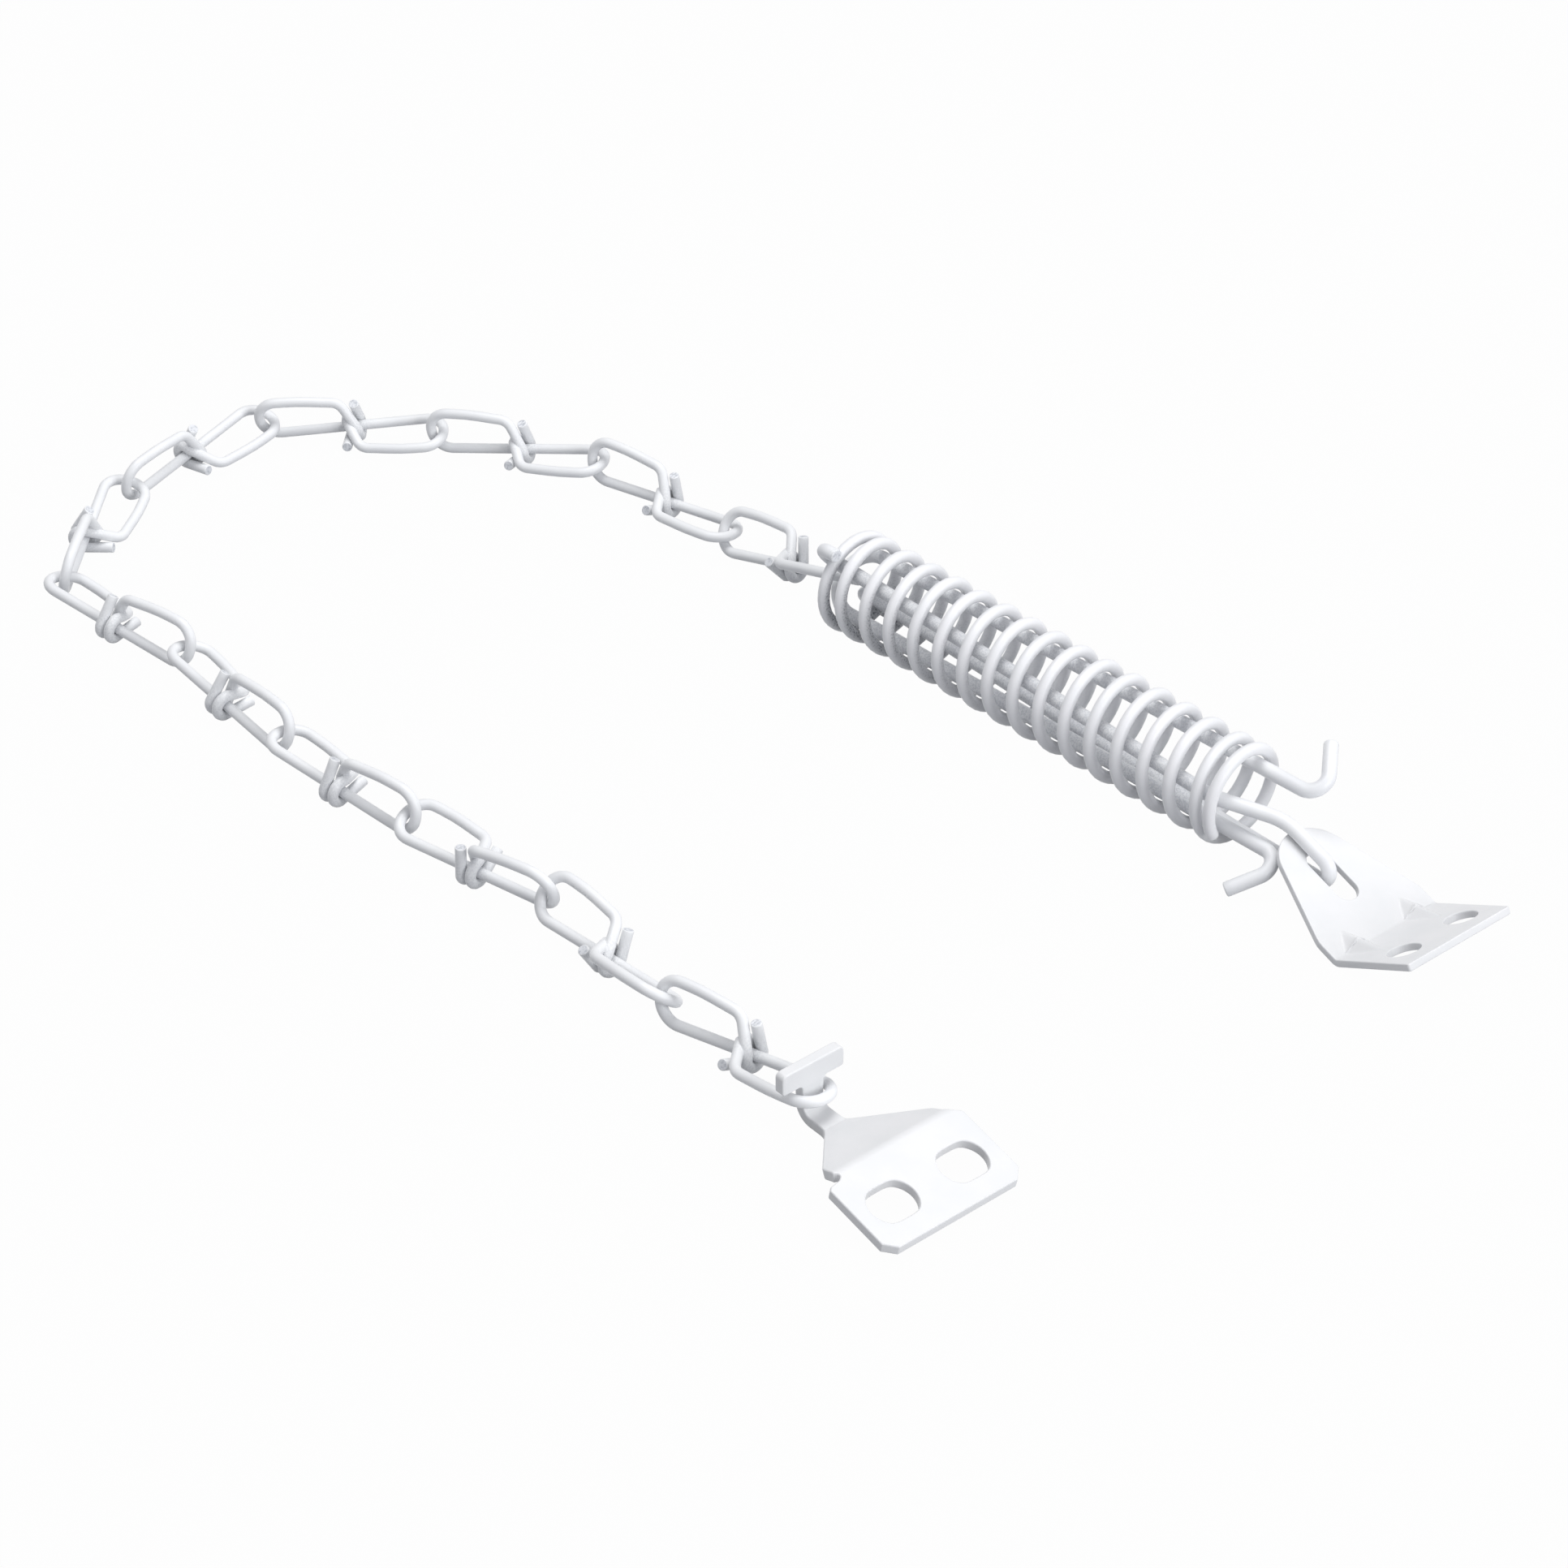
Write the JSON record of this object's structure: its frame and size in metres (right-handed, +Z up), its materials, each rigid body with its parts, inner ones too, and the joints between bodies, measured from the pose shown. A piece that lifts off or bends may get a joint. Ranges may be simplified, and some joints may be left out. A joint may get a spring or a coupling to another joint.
{
  "type": "storm door chain stop",
  "caption": "Door chain with a compression spring on two hooked drawbars, wire links wrapped in the middle, and a bent sheet bracket at each end.",
  "frame": {"origin": "on the surface that it lies on, under the middle of its bounding box", "axes": "+X along the spring towards the jamb bracket, +Z up, the part lying loose on a flat surface"},
  "size_m": [0.285, 0.1362, 0.0216],
  "materials": {
    "spring_coat": "white gloss powder coat on spring steel wire",
    "drawbar_coat": "white gloss powder coat on steel wire",
    "link_coat": "white gloss powder coat on steel wire",
    "bracket_coat": "white gloss powder coat on steel sheet"
  },
  "bodies": {
    "jamb_bracket": {"jamb_bracket": "bracket_coat"},
    "spring_unit": {"spring": "spring_coat", "drawbar_bracket_side": "drawbar_coat"},
    "chain_drawbar": {"drawbar_chain_side": "drawbar_coat"},
    "link_1": {"link_1": "link_coat"},
    "link_2": {"link_2": "link_coat"},
    "link_3": {"link_3": "link_coat"},
    "link_4": {"link_4": "link_coat"},
    "link_5": {"link_5": "link_coat"},
    "link_6": {"link_6": "link_coat"},
    "link_7": {"link_7": "link_coat"},
    "link_8": {"link_8": "link_coat"},
    "link_9": {"link_9": "link_coat"},
    "link_10": {"link_10": "link_coat"},
    "link_11": {"link_11": "link_coat"},
    "link_12": {"link_12": "link_coat"},
    "door_bracket": {"door_bracket": "bracket_coat"}
  },
  "joints": [
    {"name": "bracket_swivel", "type": "hinge", "parent": "jamb_bracket", "child": "spring_unit", "pos_m": [0.11187, 0.05267, 0.00544], "axis": [0.33, -0.019, 0.9438], "range_deg": [-75, 75]},
    {"name": "drawbar_slide", "type": "slide", "parent": "spring_unit", "child": "chain_drawbar", "axis": [-1, 0, 0], "range_m": [0, 0.054], "stiffness_N_per_m": 2950, "deforming": ["spring"]},
    {"name": "link_1_swing", "type": "hinge", "parent": "chain_drawbar", "child": "link_1", "pos_m": [-0.00905, 0.05414, 0.01085], "axis": [0, 0.7071, 0.7071], "range_deg": [-25, 70]},
    {"name": "link_2_swing", "type": "hinge", "parent": "link_1", "child": "link_2", "pos_m": [-0.04342, 0.05542, 0.00464], "axis": [0.2354, -0.505, -0.8304], "range_deg": [-65, 75]},
    {"name": "link_3_swing", "type": "hinge", "parent": "link_2", "child": "link_3", "pos_m": [-0.0784, 0.05254, 0.00688], "axis": [0.0592, -0.1297, -0.9898], "range_deg": [-27, 89]},
    {"name": "link_4_swing", "type": "hinge", "parent": "link_3", "child": "link_4", "pos_m": [-0.11041, 0.03778, 0.00529], "axis": [-0.0881, -0.1343, 0.987], "range_deg": [-83, 26]},
    {"name": "link_5_swing", "type": "hinge", "parent": "link_4", "child": "link_5", "pos_m": [-0.13775, 0.01564, 0.00519], "axis": [0.0754, -0.2635, 0.9617], "range_deg": [-125, 15]},
    {"name": "link_6_swing", "type": "hinge", "parent": "link_5", "child": "link_6", "pos_m": [-0.13523, -0.01944, 0.00519], "axis": [-0.2598, 0.0939, -0.9611], "range_deg": [-18, 100]},
    {"name": "link_7_swing", "type": "hinge", "parent": "link_6", "child": "link_7", "pos_m": [-0.11558, -0.04862, 0.00519], "axis": [0.2705, 0.0503, 0.9614], "range_deg": [-125, 9]},
    {"name": "link_8_swing", "type": "hinge", "parent": "link_7", "child": "link_8", "pos_m": [-0.08055, -0.04547, 0.00519], "axis": [-0.0896, -0.2614, -0.9611], "range_deg": [-82, 58]},
    {"name": "link_9_swing", "type": "hinge", "parent": "link_8", "child": "link_9", "pos_m": [-0.04561, -0.04993, 0.00519], "axis": [0.1305, 0.2375, 0.9626], "range_deg": [-79, 61]},
    {"name": "link_10_swing", "type": "hinge", "parent": "link_9", "child": "link_10", "pos_m": [-0.01041, -0.0495, 0.00532], "axis": [-0.1005, -0.1176, -0.988], "range_deg": [-45, 74]},
    {"name": "link_11_swing", "type": "hinge", "parent": "link_10", "child": "link_11", "pos_m": [0.02476, -0.04819, 0.00687], "axis": [0.0802, -0.2992, 0.9508], "range_deg": [-16, 79]},
    {"name": "link_12_swing", "type": "hinge", "parent": "link_11", "child": "link_12", "pos_m": [0.05968, -0.05287, 0.00609], "axis": [-0.0234, 0.7657, -0.6428], "range_deg": [-45, 70]},
    {"name": "door_bracket_swing", "type": "hinge", "parent": "link_12", "child": "door_bracket", "pos_m": [0.09491, -0.05144, 0.00557], "axis": [-0.1568, 0.9724, -0.173], "range_deg": [-6, 105]}
  ]
}
